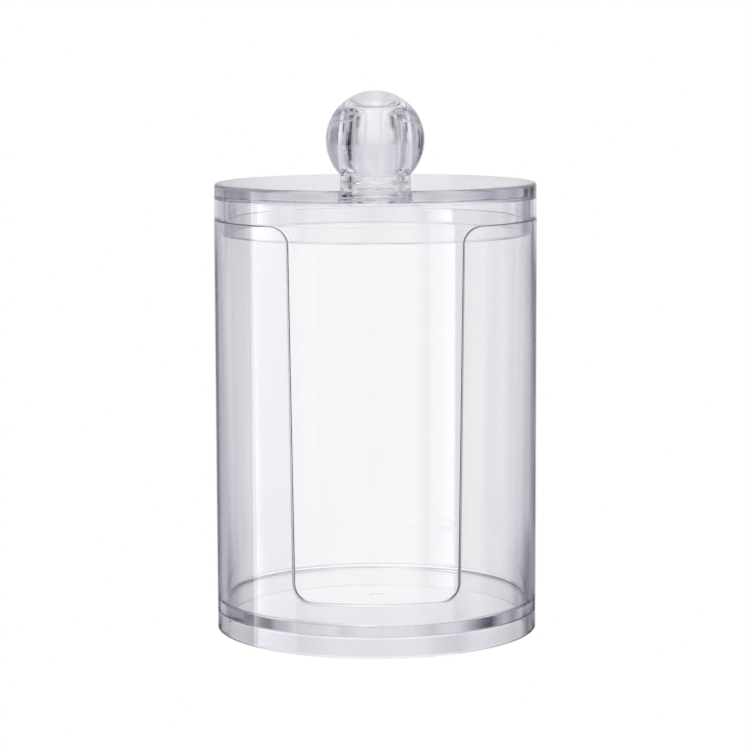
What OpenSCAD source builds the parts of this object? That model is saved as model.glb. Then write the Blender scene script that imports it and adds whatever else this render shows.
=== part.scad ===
// Clear round canister for cotton pads: an open cup with a slot down its front wall,
// and a lid whose plug sits in the cup's mouth and whose hollow ball knob lifts it off.
// Both are single mouldings. The table is at z = 0, the axis is Z and the slot faces -Y.

/* [Cup] */
// Outside diameter of the cup
outer_d = 75; // [60:1:100]
// Height of the rim that the lid's shoulder rests on
rim_h = 96.3; // [60:0.1:160]
// Wall thickness at the rim, the thin end of the draft
rim_wall = 1.1; // [0.9:0.1:1.8]
// Wall thickness at the floor, the thick end of the draft
floor_wall = 1.9; // [1.8:0.1:3]
// Thickness of the floor
floor_t = 2.3; // [1.5:0.1:4]
// Height of the foot ring, which is the recess under the floor
foot_h = 4.7; // [3:0.1:8]
// Wall thickness of the foot ring
foot_wall = 2.1; // [1.6:0.1:3]
// Radius of the inside corner between wall and floor
floor_fillet_r = 1.8; // [0.6:0.1:3]
// Radius of the rim's outside edge, which leaves a narrow land for the lid to rest on
rim_edge_r = 0.8; // [0.3:0.05:0.8]
// Radius of the foot's outside edge
foot_edge_r = 0.4; // [0.2:0.05:0.5]
// Diameter of the gate mark in the middle of the floor
gate_d = 3.6; // [2:0.2:5]
// Depth of the gate mark
gate_depth = 0.1; // [0.05:0.05:0.4]

/* [Slot] */
// Width of the slot where it meets the rim, before the mouth's corners open it
slot_top_w = 38.8; // [37.5:0.1:44]
// Width of the slot at its sill, between the straight sides
slot_sill_w = 36.5; // [30:0.1:37.4]
// Height of the sill above the floor
sill_h = 5.3; // [3:0.1:20]
// Radius of the two corners at the sill
sill_corner_r = 3.7; // [2:0.1:8]
// Radius of the two corners where the slot opens through the rim
mouth_corner_r = 4.2; // [1:0.1:5]
// How far these corners' arcs would rise above the rim, so that they meet it at an angle
mouth_rise = 0.15; // [0.1:0.05:0.5]

/* [Lid] */
// How far the lid's outside stays back from the cup's, so that no edge overhangs
lid_setback = 0.1; // [0:0.05:0.3]
// Height of the lid from its shoulder to its top face
lid_h = 8.2; // [6:0.1:16]
// Thickness of the lid's top plate
plate_t = 2.8; // [1.5:0.1:4]
// Depth of the plug below the shoulder
plug_h = 3.7; // [2:0.1:6]
// Wall thickness of the plug
plug_wall = 1.8; // [1.2:0.1:3]
// Gap all round between the plug and the cup's mouth
plug_gap = 0.3; // [0.15:0.05:0.5]
// Radius of the plug's edges
plug_edge_r = 0.6; // [0.2:0.05:0.8]
// Radius of the lid's top edge
lid_edge_r = 0.8; // [0.3:0.1:1.2]
// Radius of the skirt's lower edge, above the seam
skirt_edge_r = 0.25; // [0.1:0.05:0.5]
// Radius of the corner inside the lid, under the plate
lid_fillet_r = 1; // [0.4:0.1:2]

/* [Knob] */
// Diameter of the ball
knob_d = 22.9; // [18:0.1:30]
// Diameter of the neck under the ball
neck_d = 16.4; // [14.5:0.1:17.8]
// Height of the neck's straight part
neck_h = 1.7; // [0.8:0.1:4]
// Radius between the neck and the lid's top face
neck_fillet_r = 0.4; // [0.2:0.1:0.8]
// Diameter of the hollow at its open end, in the plate's underside
core_mouth_d = 11.4; // [8:0.1:13]
// Taper of the hollow, in degrees a side
core_draft = 1; // [0:0.25:2]
// Solid height left between the hollow's end and the top of the ball
core_cap_t = 5; // [3:0.1:8]
// Radius of the hollow's end corner
core_end_r = 1.2; // [0.4:0.1:2.5]

/* [Hidden] */

$fn = 128;
over = 0.5; // how far a cutter or a fill reaches past the edge that it works on
lap = 0.002; // how far an arc laps over its tangents, so that they cross it cleanly

outer_r = outer_d / 2;
floor_z = foot_h + floor_t;
mouth_r = outer_r - rim_wall;
well_r = outer_r - floor_wall;
foot_r = outer_r - foot_wall;
well_draft = atan((mouth_r - well_r) / (rim_h - floor_z));
gate_r = gate_d / 2;

sill_z = floor_z + sill_h;
slot_draft = atan((slot_top_w - slot_sill_w) / 2 / (rim_h - sill_z));
mouth_z = rim_h + mouth_rise - mouth_corner_r;

shoulder_z = rim_h;
lid_z = shoulder_z + lid_h;
plate_z = lid_z - plate_t;
plug_z = shoulder_z - plug_h;
plug_r = mouth_r - plug_h * tan(well_draft) - plug_gap;
lid_r = outer_r - lid_setback;
hollow_r = plug_r - plug_wall;

knob_r = knob_d / 2;
neck_r = neck_d / 2;
neck_z = lid_z + neck_h;
ball_z = neck_z + sqrt(knob_r ^ 2 - neck_r ^ 2);
core_z = ball_z + knob_r - core_cap_t;
core_mouth_r = core_mouth_d / 2;
core_r = core_mouth_r - (core_z - plate_z) * tan(core_draft);

clear_plastic = [0.86, 0.88, 0.92, 0.35];

// Distance from a drafted side, measured level with the corner it ends in, to the centre
// of the arc that rounds this corner
function inset(r, draft) = r * (1 - sin(draft)) / cos(draft);

// Lower half of a drafted hollow's outline, from the axis to its side. The side starts at
// radius r on level z, opens by the draft up to level top, and its lower corner is rounded
module tapered_hollow(r, z, top, draft, corner_r) {
    centre = [r - inset(corner_r, draft), z + corner_r];
    translate(centre) circle(corner_r + lap);
    polygon([
        [0, z],
        [centre.x, z],
        centre + corner_r * [cos(draft), -sin(draft)],
        [r + (top - z) * tan(draft), top],
        [0, top]
    ]);
}

// Square corner at the origin, less the arc that rounds it off. Outside corners lose it,
// and inside corners are filled with it, so it reaches past both of its sides
module corner(r) {
    difference() {
        translate([-over, -over]) square(r + over);
        translate([r, r]) circle(r);
    }
}

// Half section of the cup, from the axis out
module cup_section() {
    difference() {
        square([outer_r, rim_h]);
        tapered_hollow(well_r, floor_z, rim_h + over, well_draft, floor_fillet_r);
        translate([0, -over]) square([foot_r, foot_h + over]);
        translate([outer_r, 0]) rotate(90) corner(foot_edge_r);
        translate([outer_r, rim_h]) rotate(180) corner(rim_edge_r);
        translate([0, floor_z]) polygon([[0, -gate_depth], [gate_r - gate_depth, -gate_depth],
            [gate_r + over, over], [0, over]]);
    }
}

// Outline of the slot from the front, as across and up. It opens towards the rim, is
// rounded at its sill, and its two mouth corners roll outwards where it breaks the rim
module slot_outline() {
    mouth_x = slot_top_w / 2 + mouth_rise * tan(slot_draft) + inset(mouth_corner_r, slot_draft);
    roll_z = mouth_z + mouth_corner_r * sin(slot_draft);
    for (side = [0, 1]) mirror([side, 0]) {
        tapered_hollow(slot_sill_w / 2, sill_z, rim_h + over, slot_draft, sill_corner_r);
        difference() {
            translate([0, roll_z]) square([mouth_x, rim_h + over - roll_z]);
            translate([mouth_x, mouth_z]) circle(mouth_corner_r + lap);
        }
    }
}

module cup() {
    color(clear_plastic)
    difference() {
        rotate_extrude() cup_section();
        rotate([90, 0, 0]) linear_extrude(outer_r + over) slot_outline();
    }
}

// Half section of the lid's plate, skirt and plug
module cap_section() {
    difference() {
        union() {
            translate([0, shoulder_z]) square([lid_r, lid_h]);
            translate([0, plug_z]) square([plug_r, plug_h + over]);
        }
        difference() {
            translate([0, plug_z - over]) square([hollow_r, plate_z - plug_z + over]);
            translate([hollow_r, plate_z]) rotate(180) corner(lid_fillet_r);
        }
        translate([lid_r, lid_z]) rotate(180) corner(lid_edge_r);
        translate([lid_r, shoulder_z]) rotate(90) corner(skirt_edge_r);
        translate([plug_r, plug_z]) rotate(90) corner(plug_edge_r);
        translate([hollow_r, plug_z]) corner(plug_edge_r);
    }
}

// Half section of the knob, filleted into the plate's top face
module knob_section() {
    intersection() {
        translate([0, ball_z]) circle(knob_r);
        translate([0, neck_z]) square(2 * knob_r);
    }
    translate([0, plate_z]) square([neck_r, neck_z - plate_z + over]);
    translate([neck_r, lid_z]) corner(neck_fillet_r);
}

// Half section of the hollow in the knob, which is open through the plate
module core_section() {
    mirror([0, 1])
        tapered_hollow(core_r, -core_z, over - plate_z, core_draft, core_end_r);
}

module lid() {
    color(clear_plastic)
    rotate_extrude() difference() {
        union() {
            cap_section();
            knob_section();
        }
        core_section();
    }
}

cup();
lid();
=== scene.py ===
"""Clear round canister for cotton pads: finely rounded meshes in clear plastic on the frame."""
import math

import bpy
from mathutils import Matrix


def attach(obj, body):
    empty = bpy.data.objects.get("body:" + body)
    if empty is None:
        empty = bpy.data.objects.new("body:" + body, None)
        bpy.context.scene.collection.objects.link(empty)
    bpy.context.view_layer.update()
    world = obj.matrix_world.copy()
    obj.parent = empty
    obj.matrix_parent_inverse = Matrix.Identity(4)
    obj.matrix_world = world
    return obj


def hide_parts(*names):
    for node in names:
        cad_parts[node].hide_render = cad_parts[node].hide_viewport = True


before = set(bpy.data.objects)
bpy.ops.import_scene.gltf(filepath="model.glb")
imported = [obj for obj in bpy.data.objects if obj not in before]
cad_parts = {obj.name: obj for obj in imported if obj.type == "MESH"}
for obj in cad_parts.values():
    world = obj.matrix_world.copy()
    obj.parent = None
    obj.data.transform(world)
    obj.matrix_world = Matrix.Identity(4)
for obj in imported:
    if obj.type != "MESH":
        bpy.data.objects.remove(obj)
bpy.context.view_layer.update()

MM = 0.001

# Sizes of the mouldings, in millimetres, as the construction has them
outer_r = 37.5
rim_z = 96.3
rim_wall = 1.1
floor_wall = 1.9
foot_z = 4.7
floor_z = 7.0
foot_wall = 2.1
foot_edge_r = 0.4
gate_r = 1.8
gate_depth = 0.1

slot_top_w = 38.8
slot_sill_w = 36.5
sill_z = 12.3
sill_corner_r = 3.7
mouth_corner_r = 4.2

lid_r = 37.4
lid_z = 104.5
plate_z = 101.7
plug_z = 92.6
plug_gap = 0.3
plug_wall = 1.8
lid_edge_r = 0.8
plug_edge_r = 0.6
lid_fillet_r = 1.0

knob_r = 11.45
neck_r = 8.2
neck_z = 106.2
neck_fillet_r = 0.4
core_mouth_r = 5.7
core_draft = math.radians(1)
core_cap_t = 5.0
core_end_r = 1.2

# Small roundings that the construction leaves out, or has larger (the first three)
rim_edge_r = 0.3
floor_fillet_r = 0.9
skirt_edge_r = 0.1
slot_edge_r = 0.6
rim_inner_r = 0.35
foot_inner_r = 0.5
foot_lip_r = 0.3
core_edge_r = 0.25
neck_crease_r = 0.5
shoulder_r = 0.12
gate_edge_r = 0.15
seam = 0.03

mouth_r = outer_r - rim_wall
well_r = outer_r - floor_wall
foot_r = outer_r - foot_wall
well_slope = (mouth_r - well_r) / (rim_z - floor_z)
plug_r = mouth_r - (rim_z - plug_z) * well_slope - plug_gap
hollow_r = plug_r - plug_wall
ball_z = neck_z + math.sqrt(knob_r ** 2 - neck_r ** 2)
core_z = ball_z + knob_r - core_cap_t
cup_rim_z = rim_z - seam

# Fineness of the meshes
lid_columns = 320
slot_columns = 22
side_columns = 122
corner_rows = 14
slot_rows = 12
edge_rows = 6
ball_rows = 96
rim_turn_columns = 12

# Clear plastic. Its roughness goes through the range of polish as the haze's noise goes
# through haze_range. A noise is its scale and detail
index = 1.57
polish = (0.012, 0.035)
haze_noise = (90.0, 3.0)
haze_range = (0.35, 0.75)
wave_noise = (55.0, 1.0)
wave_height = 0.012
surface_colour = (0.985, 0.985, 0.99, 1.0)
depth_colour = (0.6, 0.6, 0.66, 1.0)
depth_density = 8.0

# Camera: lens, place, and how far it looks down and is rolled, in degrees
lens = 133.6
eye_place = (-0.22, -646.5, 139.98)
look_down = 7.11
roll = -0.19

# The floor, whose sheet lies just under the canister
floor_half = 4000.0
floor_drop = 0.05

# The light tent: a tall cloth cylinder about the canister, which lights and isn't seen. Its
# levels go by bearing, in degrees from straight behind, and 1 is paper white. The upper
# levels take over from the lower ones between the heights of upper_from
tent_r = 250.0
tent_h = 1500.0
tent_sides = 360
tent_end_level = 0.85
level_scale = 2.0
lower_levels = [
    (-180, 0.38), (-150, 0.74), (-125, 0.00), (-100, 0.00), (-84, 0.39), (-78, 0.40),
    (-70, 0.54), (-63, 0.83), (-57, 0.45), (-50, 0.69), (-42, 0.42), (-37, 0.64), (-33, 0.43),
    (-30, 0.07), (-27, 0.11), (-18, 0.83), (-14, 0.85), (-11, 0.70), (-9, 0.85), (-7, 0.91),
    (0, 0.96), (3, 0.95), (7, 0.80), (9, 0.94), (11, 0.87), (18, 0.83), (21, 0.60), (24, 0.50),
    (27, 0.11), (30, 0.13), (33, 0.38), (37, 0.38), (42, 0.59), (57, 0.57), (63, 0.80),
    (70, 0.45), (78, 0.51), (105, 0.86), (125, 0.91), (150, 0.74), (180, 0.38),
]
upper_levels = [
    (-180, 0.52), (-145, 1.27), (-115, 0.51), (-95, 0.62), (-80, 0.60), (-65, 0.20),
    (-50, 0.50), (-38, 0.55), (-28, 0.75), (-18, 0.69), (0, 0.82), (18, 0.72), (28, 0.75),
    (50, 0.47), (65, 0.47), (80, 0.82), (95, 0.94), (145, 0.89), (180, 0.52),
]
upper_from = (95, 135)
# Softboxes and dark flags on the cloth: left and right bearing with the blur of these
# sides, lower and upper height in millimetres with theirs, and the change of level
panels = [
    (-20, 20, 6, -50, 95, 20, 0.04),
    (-80, -61, 4, -60, 220, 20, -0.38),
    (66, 142, 8, -90, -30, 30, -0.36),
    (-57, -51, 4, 60, 150, 20, -0.43),
    (-70, -60, 4, 74, 150, 12, -0.35),
    (-34, -21, 6, 70, 110, 24, 0.4),
    (21, 34, 6, 70, 110, 24, 0.45),
    (35, 60, 6, 50, 120, 30, -0.17),
    (-88, -50, 8, -80, -22, 12, -0.35),
    (40, 72, 8, -80, -22, 12, -0.4),
    (-25, -3, 6, -125, -80, 12, -0.3),
    (-35, 35, 10, -90, -50, 20, -0.13),
    (-90, 90, 10, 350, 9000, 100, 0.21),
    (90, 270, 10, 350, 9000, 100, 0.02),
    (-90, 90, 10, -9000, -150, 60, 0.11),
    (90, 270, 10, -9000, -150, 60, 0.02),
    (-270, -90, 10, -9000, -150, 60, 0.57),
    (-270, -90, 10, 350, 9000, 100, 0.25),
]
# How much more red, green and blue the cloth has, times how far it is below white
dim_tint = (-0.14, -0.17, 0.09)
# Strip softbox to the left front: x, front and back y, lower and upper z, and its level
# at the front and at the back
strip_light = (-76, -66.5, -17.5, -25, 101, 0.8, 2.6)


def inner_radius(z):
    """Radius of the cup's drafted inside at a height."""
    return well_r + (z - floor_z) * well_slope


class Outline:
    """Half section of a turned piece, from point to point, each with its outward normal.

    Corners are rounded by an arc that is tangent to both of its sides.
    """

    def __init__(self, corners, steps=7):
        """corners: (radius, height, rounding) in order, with the material on the left."""
        self.points = []
        for i, (r, z, round_r) in enumerate(corners):
            if i == 0:
                self.points.append((r, z, *self.normal(corners[0], corners[1])))
            elif i == len(corners) - 1:
                self.points.append((r, z, *self.normal(corners[-2], corners[-1])))
            else:
                self.rounded((r, z), round_r, self.normal(corners[i - 1], (r, z)),
                             self.normal((r, z), corners[i + 1]), steps)

    @staticmethod
    def normal(a, b):
        """Outward normal of the side from a to b, which has the material on its left."""
        dr, dz = b[0] - a[0], b[1] - a[1]
        size = math.hypot(dr, dz)
        return dz / size, -dr / size

    def rounded(self, corner, round_r, n0, n1, steps):
        """The arc between the side with normal n0 and the side with normal n1."""
        turn = n0[0] * n1[1] - n0[1] * n1[0]
        along = n0[0] * n1[0] + n0[1] * n1[1]
        way = math.copysign(1, turn)
        reach = way * round_r / (1 + along)
        cr = corner[0] - reach * (n0[0] + n1[0])
        cz = corner[1] - reach * (n0[1] + n1[1])
        start = math.atan2(n0[1], n0[0])
        self.arc(cr, cz, round_r, start, start + math.atan2(turn, along), steps, way)

    def arc(self, cr, cz, radius, start, end, steps, way=1):
        """An arc whose normals turn from start to end. way is 1 if its centre is in the material."""
        for k in range(steps + 1):
            a = start + (end - start) * k / steps
            nr, nz = math.cos(a), math.sin(a)
            self.points.append((cr + way * radius * nr, cz + way * radius * nz, nr, nz))


class Shell:
    """Points and faces of one closed mesh, mirrored about x = 0 and gathered piece by piece."""

    def __init__(self):
        self.vertices, self.normals, self.faces, self.index = [], [], [], {}

    def point(self, key, place, normal):
        """Keeps the point of this key once, and its mirror image unless it lies on x = 0."""
        if key in self.index:
            return
        x, y, z = place
        nx, ny, nz = normal
        size = math.sqrt(nx * nx + ny * ny + nz * nz)
        first = len(self.vertices)
        if abs(x) < 1e-6:
            self.index[key] = (first, first)
            self.vertices.append((0.0, y, z))
            self.normals.append((0.0, ny / size, nz / size))
            return
        self.index[key] = (first, first + 1)
        for side in (1, -1):
            self.vertices.append((side * x, y, z))
            self.normals.append((side * nx / size, ny / size, nz / size))

    def face(self, *keys):
        """The face between these keys' points, and its mirror image, both looking outwards."""
        for side in (0, 1):
            corners = []
            for key in keys:
                if self.index[key][side] not in corners:
                    corners.append(self.index[key][side])
            if len(corners) > 2:
                self.faces.append(self.outwards(corners))

    def outwards(self, corners):
        """The corners in the order that makes their face look the way its normals do."""
        facing = 0.0
        for k in range(3):
            i, j = (k + 1) % 3, (k + 2) % 3
            area = 0.0
            for a, b in zip(corners, corners[1:] + corners[:1]):
                p, q = self.vertices[a], self.vertices[b]
                area += p[i] * q[j] - p[j] * q[i]
            facing += area * sum(self.normals[c][k] for c in corners)
        return corners if facing > 0 else corners[::-1]

    def sheet(self, rows):
        """Faces between neighbouring rows of keys, which all have the same length."""
        for low, high in zip(rows, rows[1:]):
            for i in range(len(low) - 1):
                self.face(low[i], low[i + 1], high[i + 1], high[i])

    def lathe(self, name, points, angles, last=None):
        """Turns an outline through the angles of the right half. Returns its last row of keys.

        last, where given, is a row of keys that the sheet ends on.
        """
        rows = []
        for k, (r, z, nr, nz) in enumerate(points):
            row = []
            for i, a in enumerate(angles):
                key = (name, k, i) if r > 1e-6 else (name, k)
                self.point(key, (r * math.sin(a), -r * math.cos(a), z),
                           (nr * math.sin(a), -nr * math.cos(a), nz))
                row.append(key)
            rows.append(row)
        if last:
            rows.append(last)
        self.sheet(rows)

    def build(self, name):
        """A smooth object with these exact normals, from points in millimetres."""
        mesh = bpy.data.meshes.new(name)
        mesh.from_pydata([[c * MM for c in v] for v in self.vertices], [], self.faces)
        mesh.validate()
        mesh.shade_smooth()
        mesh.normals_split_custom_set_from_vertices(self.normals)
        piece = bpy.data.objects.new(name, mesh)
        bpy.context.scene.collection.objects.link(piece)
        return piece


def free_edge():
    """The cup's free edge on its right half, from the middle of the sill round to the back.

    Each sample has the place of the sharp outside edge, the way into the wall there as
    (nx, nz), and the way across the wall as (cx, cy).
    """
    lean = math.atan((slot_top_w - slot_sill_w) / 2 / (rim_z - sill_z))
    inset = (1 - math.sin(lean)) / math.cos(lean)
    samples = []

    def cut(x, z, nx, nz):
        samples.append(((x, -math.sqrt(outer_r ** 2 - x * x), z), (nx, nz), (0.0, 1.0)))

    sill_x = slot_sill_w / 2 - sill_corner_r * inset
    for i in range(slot_columns):
        cut(sill_x * i / slot_columns, sill_z, 0.0, -1.0)
    for i in range(corner_rows + 1):
        a = -math.pi / 2 + (math.pi / 2 - lean) * i / corner_rows
        across, up = math.cos(a), math.sin(a)
        cut(sill_x + sill_corner_r * across, sill_z + sill_corner_r + sill_corner_r * up, across, up)
    mouth_x = slot_top_w / 2 + mouth_corner_r * inset
    mouth_z = cup_rim_z - mouth_corner_r
    x0, _, z0 = samples[-1][0]
    x1 = mouth_x - mouth_corner_r * math.cos(lean)
    z1 = mouth_z + mouth_corner_r * math.sin(lean)
    for i in range(1, slot_rows):
        part = i / slot_rows
        cut(x0 + (x1 - x0) * part, z0 + (z1 - z0) * part, math.cos(lean), -math.sin(lean))
    for i in range(corner_rows + 1):
        a = math.pi - lean - (math.pi / 2 - lean) * i / corner_rows
        cut(mouth_x + mouth_corner_r * math.cos(a), mouth_z + mouth_corner_r * math.sin(a),
            -math.cos(a), -math.sin(a))
    start = math.asin(mouth_x / outer_r)
    for i in range(1, side_columns + 1):
        a = start + (math.pi - start) * i / side_columns
        turn = a * min(1.0, i / rim_turn_columns)
        place = (outer_r * math.sin(a), -outer_r * math.cos(a), cup_rim_z)
        samples.append((place, (0.0, -1.0), (-math.sin(turn), math.cos(turn))))
    return samples


def outside(sample, depth):
    """The point on the cup's outside that lies this far from its free edge."""
    (x, y, z), (nx, nz), _ = sample
    if nx == 0:
        return x, y, z + depth * nz
    x += depth * nx
    return x, -math.sqrt(outer_r ** 2 - x * x), z + depth * nz


def inside(sample, depth):
    """The point on the cup's inside that faces outside(sample, depth) across the wall."""
    x, y, z = outside(sample, depth)
    cx, cy = sample[2]
    along = x * cx + y * cy
    run = -along - math.sqrt(along ** 2 - (x * x + y * y - inner_radius(z) ** 2))
    return x + run * cx, y + run * cy, z


def cross(a, b):
    """The vector product."""
    return (a[1] * b[2] - a[2] * b[1], a[2] * b[0] - a[0] * b[2], a[0] * b[1] - a[1] * b[0])


def edge_round(shell, sample, t, edge_r, surface, sign, name):
    """Rounds one edge of the wall's end face at sample t, from the wall's surface to it."""
    (x, y, z), (nx, nz), (cx, cy) = sample
    tiny = 0.01
    base = surface(sample, 0)
    down = tuple((q - p) / tiny for p, q in zip(base, surface(sample, tiny)))
    if nx == 0:
        side = (-base[1], base[0], 0.0)
    else:
        next_x = x - tiny * nz
        next_place = (next_x, -math.sqrt(outer_r ** 2 - next_x ** 2), z + tiny * nx)
        beside = (next_place, (nx, nz), (cx, cy))
        side = tuple((q - p) / tiny for p, q in zip(base, surface(beside, 0)))
    size = math.hypot(base[0], base[1])
    towards = (sign * base[0] / size - down[0], sign * base[1] / size - down[1], -down[2])
    row = []
    for k in range(edge_rows + 1):
        a = math.pi / 2 * k / edge_rows
        px, py, pz = surface(sample, edge_r * (1 - math.sin(a)))
        shift = sign * edge_r * (1 - math.cos(a))
        tangent = (sign * math.sin(a) * cx - math.cos(a) * down[0],
                   sign * math.sin(a) * cy - math.cos(a) * down[1],
                   -math.cos(a) * down[2])
        normal = cross(side, tangent)
        if sum(n * w for n, w in zip(normal, towards)) < 0:
            normal = tuple(-n for n in normal)
        shell.point((name, t, k), (px + shift * cx, py + shift * cy, pz), normal)
        row.append((name, t, k))
    return row


def make_cup():
    """The cup: wall with the slot, floor and foot ring, as one closed mesh."""
    shell = Shell()
    samples = free_edge()
    count = len(samples)
    rim_start = count - 1 - side_columns
    strip = []
    for t in range(count):
        part = min(1.0, max(0, t - rim_start) / rim_turn_columns)
        outer_edge_r = slot_edge_r + (rim_edge_r - slot_edge_r) * part
        outer_row = edge_round(shell, samples[t], t, outer_edge_r, outside, 1, "outer")
        inner_row = edge_round(shell, samples[t], t, rim_inner_r, inside, -1, "inner")
        strip.append(outer_row + inner_row[::-1])
    shell.sheet(strip)

    def wall(name, column, radius, sign, slope):
        """The wall's outside or inside beside the slot. Returns the row at the sill's level."""
        rows = []
        for t in range(slot_columns, rim_start):
            x, y, z = shell.vertices[shell.index[strip[t][column]][0]]
            start = math.atan2(x, -y)
            row = [strip[t][column]]
            for i in range(1, side_columns + 1):
                a = start + (math.pi - start) * i / side_columns
                r = radius(z)
                key = (name, t, i)
                shell.point(key, (r * math.sin(a), -r * math.cos(a), z),
                            (sign * math.sin(a), -sign * math.cos(a), -sign * slope))
                row.append(key)
            rows.append(row)
        rows.append([strip[t][column] for t in range(rim_start, count)])
        shell.sheet(rows)
        return [strip[t][column] for t in range(slot_columns)] + rows[0]

    outer_row = wall("outer_wall", 0, lambda z: outer_r, 1, 0.0)
    inner_row = wall("inner_wall", -1, inner_radius, -1, well_slope)

    def angles(row):
        places = [shell.vertices[shell.index[key][0]] for key in row]
        return [math.atan2(x, -y) for x, y, _ in places]

    low_z = sill_z - slot_edge_r
    under = Outline([
        (0, foot_z, 0),
        (foot_r, foot_z, foot_inner_r),
        (foot_r, 0, foot_lip_r),
        (outer_r, 0, foot_edge_r),
        (outer_r, low_z, 0),
    ])
    grown = []
    for a, b in zip(under.points, under.points[1:]):
        grown.append(a)
        pieces = 12 if a[0] == 0 else 4 if math.dist(a[:2], b[:2]) > 2 else 1
        for k in range(1, pieces):
            grown.append(tuple(p + (q - p) * k / pieces for p, q in zip(a, b)))
    shell.lathe("under", grown, angles(outer_row), outer_row)
    within = Outline([
        (0, floor_z - gate_depth, 0),
        (gate_r - gate_depth, floor_z - gate_depth, gate_edge_r),
        (gate_r, floor_z, gate_edge_r),
        (well_r, floor_z, floor_fillet_r),
        (inner_radius(sill_z - rim_inner_r), sill_z - rim_inner_r, 0),
    ][::-1])
    shell.lathe("within", within.points[:0:-1], angles(inner_row), inner_row)
    return shell.build("cup_moulding")


def make_lid():
    """The lid: plate, skirt, plug, neck and hollow ball knob, as one turned mesh."""
    outline = Outline([
        (0, core_z, 0),
        (core_mouth_r - (core_z - plate_z) * math.tan(core_draft), core_z, core_end_r),
        (core_mouth_r, plate_z, core_edge_r),
        (hollow_r, plate_z, lid_fillet_r),
        (hollow_r, plug_z, plug_edge_r),
        (plug_r, plug_z, plug_edge_r),
        (plug_r, rim_z, shoulder_r),
        (lid_r, rim_z, skirt_edge_r),
        (lid_r, lid_z, lid_edge_r),
        (neck_r, lid_z, neck_fillet_r),
        (neck_r, neck_z, 0),
    ])
    outline.points.pop()
    crease_r = neck_r + neck_crease_r
    crease_z = ball_z - math.sqrt((knob_r + neck_crease_r) ** 2 - crease_r ** 2)
    crease = math.atan2(crease_z - ball_z, crease_r)
    outline.arc(crease_r, crease_z, neck_crease_r, 0, crease, 6, -1)
    outline.points.pop()
    outline.arc(0, ball_z, knob_r, crease, math.pi / 2, ball_rows)
    shell = Shell()
    half = lid_columns // 2
    shell.lathe("lid", outline.points, [math.pi * i / half for i in range(half + 1)])
    return shell.build("lid_moulding")


class Nodes:
    """A node tree with short calls for the maths in it."""

    def __init__(self, tree):
        self.tree = tree
        tree.nodes.clear()

    def add(self, kind, **settings):
        node = self.tree.nodes.new("ShaderNode" + kind)
        for name, value in settings.items():
            setattr(node, name, value)
        return node

    def link(self, source, target):
        self.tree.links.new(source, target)

    def put(self, socket, value):
        """Links a socket or sets a plain value."""
        if isinstance(value, bpy.types.NodeSocket):
            self.link(value, socket)
        else:
            socket.default_value = value

    def math(self, operation, *values):
        node = self.add("Math", operation=operation)
        for socket, value in zip(node.inputs, values):
            self.put(socket, value)
        return node.outputs[0]

    def smooth(self, value, low, high, start=0.0, end=1.0):
        """Goes smoothly from start to end as value goes from low to high."""
        node = self.add("MapRange", interpolation_type="SMOOTHSTEP")
        for socket, number in zip(node.inputs, (value, low, high, start, end)):
            self.put(socket, number)
        return node.outputs[0]

    def curve(self, bearing, levels):
        """The level at a bearing, on straight lines between the stops of (bearing, level)."""
        node = self.add("FloatCurve")
        self.link(self.math("MULTIPLY_ADD", bearing, 1 / 360, 0.5), node.inputs["Value"])
        line = node.mapping.curves[0]
        stops = [((degrees + 180) / 360, level / level_scale) for degrees, level in levels]
        line.points[0].location = stops[0]
        line.points[1].location = stops[-1]
        for stop in stops[1:-1]:
            line.points.new(*stop)
        for point in line.points:
            point.handle_type = "VECTOR"
        node.mapping.update()
        return self.math("MULTIPLY", node.outputs[0], level_scale)

    def noise(self, place, scale, detail):
        """Cloudy noise about 0.5 at a place."""
        node = self.add("TexNoise")
        self.link(place, node.inputs["Vector"])
        node.inputs["Scale"].default_value = scale
        node.inputs["Detail"].default_value = detail
        return node.outputs[0]

    def band(self, value, low, high, blur):
        """1 between low and high and 0 beyond them, with a blur as wide as given about both."""
        rise = self.smooth(value, low - blur / 2, low + blur / 2)
        fall = self.smooth(value, high - blur / 2, high + blur / 2, 1.0, 0.0)
        return self.math("MULTIPLY", rise, fall)


def tent_light(nodes):
    """Colour of the light tent's cloth at a place on it, where 1 is paper white."""
    split = nodes.add("SeparateXYZ")
    nodes.link(nodes.add("NewGeometry").outputs["Position"], split.inputs[0])
    x, y, z = split.outputs
    bearing = nodes.math("MULTIPLY", nodes.math("ARCTAN2", x, y), 180 / math.pi)
    height = nodes.math("MULTIPLY", z, 1 / MM)
    level = nodes.add("Mix", data_type="FLOAT")
    nodes.link(nodes.smooth(height, *upper_from), level.inputs[0])
    nodes.link(nodes.curve(bearing, lower_levels), level.inputs[2])
    nodes.link(nodes.curve(bearing, upper_levels), level.inputs[3])
    level = level.outputs[0]
    for left, right, side_blur, low, high, end_blur, change in panels:
        across = nodes.band(bearing, left, right, side_blur)
        up = nodes.band(height, low, high, end_blur)
        level = nodes.math("MULTIPLY_ADD", nodes.math("MULTIPLY", across, up), change, level)
    level = nodes.math("MAXIMUM", level, 0.0)
    dim = nodes.math("SUBTRACT", 1.0, level)
    colour = nodes.add("CombineColor")
    for socket, tint in zip(colour.inputs, dim_tint):
        tinted = nodes.math("MULTIPLY_ADD", dim, tint, 1.0)
        nodes.link(nodes.math("MULTIPLY", tinted, level), socket)
    return colour.outputs[0]


def stage_piece(name, places, faces):
    """A stage mesh from places in millimetres, with an empty material of its own name."""
    mesh = bpy.data.meshes.new(name)
    mesh.from_pydata([tuple(c * MM for c in place) for place in places], [], faces)
    piece = bpy.data.objects.new(name, mesh)
    bpy.context.scene.collection.objects.link(piece)
    material = bpy.data.materials.new(name)
    material.use_nodes = True
    mesh.materials.append(material)
    return piece, Nodes(material.node_tree)


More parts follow.
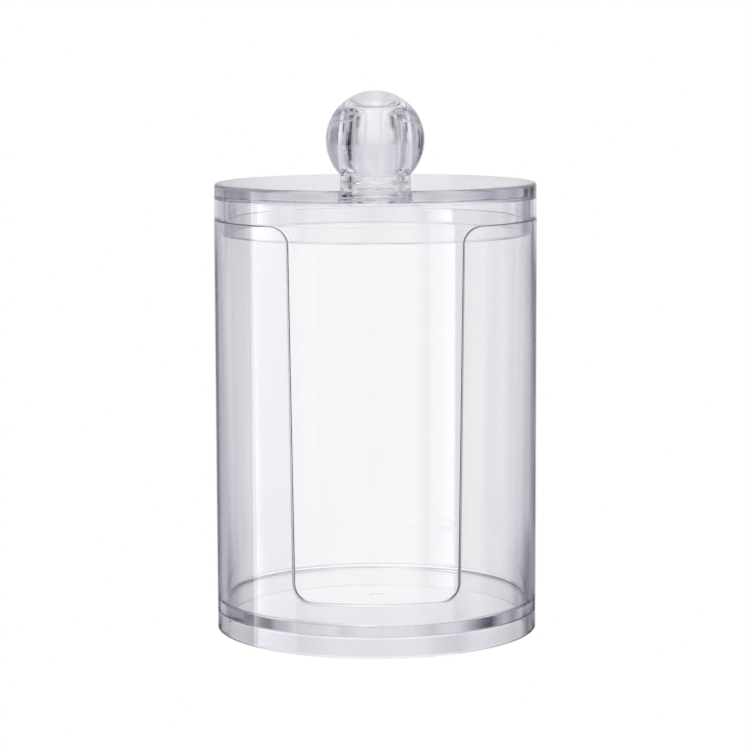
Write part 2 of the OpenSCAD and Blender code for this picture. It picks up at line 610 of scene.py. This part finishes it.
def make_world():
    """White surroundings for the camera, and the light past the tent's ends for the rest."""
    world = bpy.data.worlds.new("studio")
    bpy.context.scene.world = world
    world.use_nodes = True
    nodes = Nodes(world.node_tree)
    level = nodes.add("Mix", data_type="FLOAT")
    nodes.link(nodes.add("LightPath").outputs["Is Camera Ray"], level.inputs[0])
    nodes.put(level.inputs[2], tent_end_level)
    nodes.put(level.inputs[3], 1.0)
    background = nodes.add("Background")
    background.inputs["Color"].default_value = (1.0, 1.0, 1.0, 1.0)
    nodes.link(level.outputs[0], background.inputs["Strength"])
    nodes.link(background.outputs[0], nodes.add("OutputWorld").inputs["Surface"])


def make_floor():
    """A white floor for the camera, which lets all other light through."""
    sides = ((-1, -1), (1, -1), (1, 1), (-1, 1))
    _, nodes = stage_piece("floor", [(x * floor_half, y * floor_half, -floor_drop)
                                     for x, y in sides], [(0, 1, 2, 3)])
    glow = nodes.add("Emission")
    glow.inputs["Color"].default_value = (1.0, 1.0, 1.0, 1.0)
    pick = nodes.add("MixShader")
    nodes.link(nodes.add("LightPath").outputs["Is Camera Ray"], pick.inputs[0])
    nodes.link(nodes.add("BsdfTransparent").outputs[0], pick.inputs[1])
    nodes.link(glow.outputs[0], pick.inputs[2])
    nodes.link(pick.outputs[0], nodes.add("OutputMaterial").inputs["Surface"])


def make_tent():
    """The light tent, which the camera looks through."""
    ring = []
    for i in range(tent_sides):
        turn = math.tau * i / tent_sides
        ring.append((tent_r * math.sin(turn), tent_r * math.cos(turn)))
    places = [(x, y, z) for z in (-tent_h, tent_h) for x, y in ring]
    faces = []
    for i in range(tent_sides):
        j = (i + 1) % tent_sides
        faces.append((i, j, j + tent_sides, i + tent_sides))
    tent, nodes = stage_piece("light_tent", places, faces)
    tent.visible_camera = False
    glow = nodes.add("Emission")
    nodes.link(tent_light(nodes), glow.inputs["Color"])
    nodes.link(glow.outputs[0], nodes.add("OutputMaterial").inputs["Surface"])


def make_strip_light():
    """The strip softbox, which glows but blocks nothing."""
    x, front, back, low, high, front_level, back_level = strip_light
    places = [(x, front, low), (x, back, low), (x, back, high), (x, front, high)]
    strip, nodes = stage_piece("strip_light", places, [(0, 1, 2, 3)])
    strip.visible_camera = False
    split = nodes.add("SeparateXYZ")
    nodes.link(nodes.add("NewGeometry").outputs["Position"], split.inputs[0])
    level = nodes.smooth(split.outputs[1], front * MM, back * MM, front_level, back_level)
    glow = nodes.add("Emission")
    nodes.link(level, glow.inputs["Strength"])
    both = nodes.add("AddShader")
    nodes.link(glow.outputs[0], both.inputs[0])
    nodes.link(nodes.add("BsdfTransparent").outputs[0], both.inputs[1])
    nodes.link(both.outputs[0], nodes.add("OutputMaterial").inputs["Surface"])


def clear_plastic():
    """Water-clear moulded plastic: faintly cool in its depth, with slight flow waves and haze."""
    material = bpy.data.materials.new("clear_plastic")
    material.use_nodes = True
    nodes = Nodes(material.node_tree)
    shader = nodes.add("BsdfPrincipled")
    shader.inputs["Base Color"].default_value = surface_colour
    shader.inputs["IOR"].default_value = index
    shader.inputs["Transmission Weight"].default_value = 1.0
    place = nodes.add("TexCoord").outputs["Object"]
    haze = nodes.noise(place, *haze_noise)
    nodes.link(nodes.smooth(haze, *haze_range, *polish), shader.inputs["Roughness"])
    waves = nodes.add("Bump")
    waves.inputs["Strength"].default_value = 1.0
    waves.inputs["Distance"].default_value = wave_height * MM
    nodes.link(nodes.noise(place, *wave_noise), waves.inputs["Height"])
    nodes.link(waves.outputs[0], shader.inputs["Normal"])
    depth = nodes.add("VolumeAbsorption")
    depth.inputs["Color"].default_value = depth_colour
    depth.inputs["Density"].default_value = depth_density
    output = nodes.add("OutputMaterial")
    nodes.link(shader.outputs[0], output.inputs["Surface"])
    nodes.link(depth.outputs[0], output.inputs["Volume"])
    return material


def make_camera():
    """The photo's view: from the front, a little above, with a long lens."""
    camera = bpy.data.cameras.new("camera")
    camera.sensor_width = 36.0
    camera.lens = lens
    camera.clip_end = 20.0
    eye = bpy.data.objects.new("camera", camera)
    eye.matrix_world = (Matrix.Translation(tuple(c * MM for c in eye_place))
                        @ Matrix.Rotation(math.radians(90 - look_down), 4, "X")
                        @ Matrix.Rotation(math.radians(roll), 4, "Z"))
    bpy.context.scene.collection.objects.link(eye)
    bpy.context.scene.camera = eye


def dress():
    """Puts the two finished mouldings in the place of the construction's."""
    plastic = clear_plastic()
    for piece, node in ((make_cup(), "cup"), (make_lid(), "lid")):
        piece.data.materials.append(plastic)
        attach(piece, node)
        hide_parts(node)


dress()
make_world()
make_floor()
make_tent()
make_strip_light()
make_camera()

scene = bpy.context.scene
scene.view_settings.view_transform = "Standard"
scene.view_settings.look = "None"
scene.cycles.max_bounces = 32
scene.cycles.transmission_bounces = 32
scene.cycles.glossy_bounces = 32
scene.cycles.transparent_max_bounces = 16
scene.cycles.use_denoising = True
